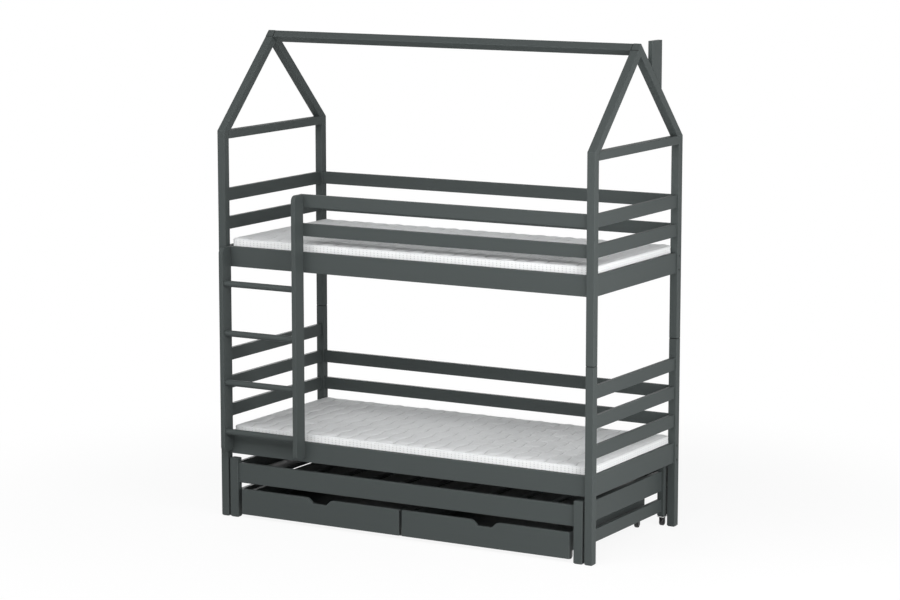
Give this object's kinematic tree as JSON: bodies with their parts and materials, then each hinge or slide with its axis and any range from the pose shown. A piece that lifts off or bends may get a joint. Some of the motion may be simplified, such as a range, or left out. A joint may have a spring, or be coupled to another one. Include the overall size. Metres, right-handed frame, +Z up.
{
  "type": "triple house bunk bed",
  "caption": "Graphite house-shaped bunk bed with gabled roof frame, ladder, slatted beds, two mattresses, a roll-out third bed and two rolling drawers below.",
  "frame": {"origin": "middle of the footprint, ladder included, on the floor", "axes": "+X along the bed towards the gable with the chimney, +Y to the back, +Z up"},
  "size_m": [2, 0.962, 2.316],
  "materials": {
    "graphite_wood": "painted",
    "slat_wood": "painted",
    "drawer_board": "painted",
    "mattress_fabric": "knit",
    "castor_black": "matte",
    "zinc_plate": "zinc plated",
    "bolt_steel": "black oxide",
    "dowel_beech": "raw"
  },
  "bodies": {
    "frame": {"bolt_plugs": "graphite_wood", "chimney_board": "graphite_wood", "frame_bolts": "bolt_steel", "frame_dowels": "dowel_beech", "gable_tie_left": "graphite_wood", "gable_tie_right": "graphite_wood", "ladder_rungs": "graphite_wood", "ladder_stile_left": "graphite_wood", "ladder_stile_right": "graphite_wood", "lower_back_guards": "graphite_wood", "lower_end_boards_left": "graphite_wood", "lower_end_boards_right": "graphite_wood", "lower_mattress": "mattress_fabric", "lower_post_front_left": "graphite_wood", "lower_post_front_right": "graphite_wood", "lower_post_rear_left": "graphite_wood", "lower_post_rear_right": "graphite_wood", "lower_rail_front": "graphite_wood", "lower_rail_rear": "graphite_wood", "lower_slats": "slat_wood", "rafters_left": "graphite_wood", "rafters_right": "graphite_wood", "ridge_beam": "graphite_wood", "slat_ledges": "slat_wood", "upper_back_guards": "graphite_wood", "upper_end_boards_left": "graphite_wood", "upper_end_boards_right": "graphite_wood", "upper_front_guards": "graphite_wood", "upper_mattress": "mattress_fabric", "upper_post_front_left": "graphite_wood", "upper_post_front_right": "graphite_wood", "upper_post_rear_left": "graphite_wood", "upper_post_rear_right": "graphite_wood", "upper_rail_front": "graphite_wood", "upper_rail_rear": "graphite_wood", "upper_slats": "slat_wood"},
    "trundle": {"trundle_bolts": "bolt_steel", "trundle_castor_forks": "castor_black", "trundle_castor_plates": "zinc_plate", "trundle_end_boards": "graphite_wood", "trundle_ledges": "slat_wood", "trundle_legs": "graphite_wood", "trundle_side_rails": "graphite_wood", "trundle_slats": "slat_wood"},
    "left_drawer": {"left_drawer_box": "drawer_board", "left_drawer_forks": "castor_black", "left_drawer_front": "graphite_wood"},
    "right_drawer": {"right_drawer_box": "drawer_board", "right_drawer_forks": "castor_black", "right_drawer_front": "graphite_wood"},
    "left_drawer_wheel_front_left": {"left_drawer_wheel_front_left": "castor_black"},
    "left_drawer_wheel_front_right": {"left_drawer_wheel_front_right": "castor_black"},
    "left_drawer_wheel_rear_left": {"left_drawer_wheel_rear_left": "castor_black"},
    "left_drawer_wheel_rear_right": {"left_drawer_wheel_rear_right": "castor_black"},
    "right_drawer_wheel_front_left": {"right_drawer_wheel_front_left": "castor_black"},
    "right_drawer_wheel_front_right": {"right_drawer_wheel_front_right": "castor_black"},
    "right_drawer_wheel_rear_left": {"right_drawer_wheel_rear_left": "castor_black"},
    "right_drawer_wheel_rear_right": {"right_drawer_wheel_rear_right": "castor_black"},
    "trundle_wheel_left": {"trundle_wheel_left": "castor_black"},
    "trundle_wheel_right": {"trundle_wheel_right": "castor_black"}
  },
  "joints": [
    {"name": "trundle_slide", "type": "slide", "parent": "frame", "child": "trundle", "axis": [0, -1, 0], "range_m": [0, 0.85]},
    {"name": "left_drawer_slide", "type": "slide", "parent": "frame", "child": "left_drawer", "axis": [0, -1, 0], "range_m": [0, 0.7]},
    {"name": "right_drawer_slide", "type": "slide", "parent": "frame", "child": "right_drawer", "axis": [0, -1, 0], "range_m": [0, 0.7]},
    {"name": "trundle_wheel_left_spin", "type": "hinge", "parent": "trundle", "child": "trundle_wheel_left", "pos_m": [-0.9325, 0.4485, 0.018], "axis": [1, 0, 0], "continuous": true},
    {"name": "trundle_wheel_right_spin", "type": "hinge", "parent": "trundle", "child": "trundle_wheel_right", "pos_m": [0.9325, 0.4485, 0.018], "axis": [1, 0, 0], "continuous": true},
    {"name": "left_drawer_wheel_front_left_spin", "type": "hinge", "parent": "left_drawer", "child": "left_drawer_wheel_front_left", "pos_m": [-0.849, -0.346, 0.017], "axis": [1, 0, 0], "continuous": true},
    {"name": "left_drawer_wheel_rear_left_spin", "type": "hinge", "parent": "left_drawer", "child": "left_drawer_wheel_rear_left", "pos_m": [-0.849, 0.348, 0.017], "axis": [1, 0, 0], "continuous": true},
    {"name": "left_drawer_wheel_front_right_spin", "type": "hinge", "parent": "left_drawer", "child": "left_drawer_wheel_front_right", "pos_m": [-0.0425, -0.346, 0.017], "axis": [1, 0, 0], "continuous": true},
    {"name": "left_drawer_wheel_rear_right_spin", "type": "hinge", "parent": "left_drawer", "child": "left_drawer_wheel_rear_right", "pos_m": [-0.0425, 0.348, 0.017], "axis": [1, 0, 0], "continuous": true},
    {"name": "right_drawer_wheel_front_left_spin", "type": "hinge", "parent": "right_drawer", "child": "right_drawer_wheel_front_left", "pos_m": [0.0425, -0.346, 0.017], "axis": [1, 0, 0], "continuous": true},
    {"name": "right_drawer_wheel_rear_left_spin", "type": "hinge", "parent": "right_drawer", "child": "right_drawer_wheel_rear_left", "pos_m": [0.0425, 0.348, 0.017], "axis": [1, 0, 0], "continuous": true},
    {"name": "right_drawer_wheel_front_right_spin", "type": "hinge", "parent": "right_drawer", "child": "right_drawer_wheel_front_right", "pos_m": [0.849, -0.346, 0.017], "axis": [1, 0, 0], "continuous": true},
    {"name": "right_drawer_wheel_rear_right_spin", "type": "hinge", "parent": "right_drawer", "child": "right_drawer_wheel_rear_right", "pos_m": [0.849, 0.348, 0.017], "axis": [1, 0, 0], "continuous": true}
  ]
}
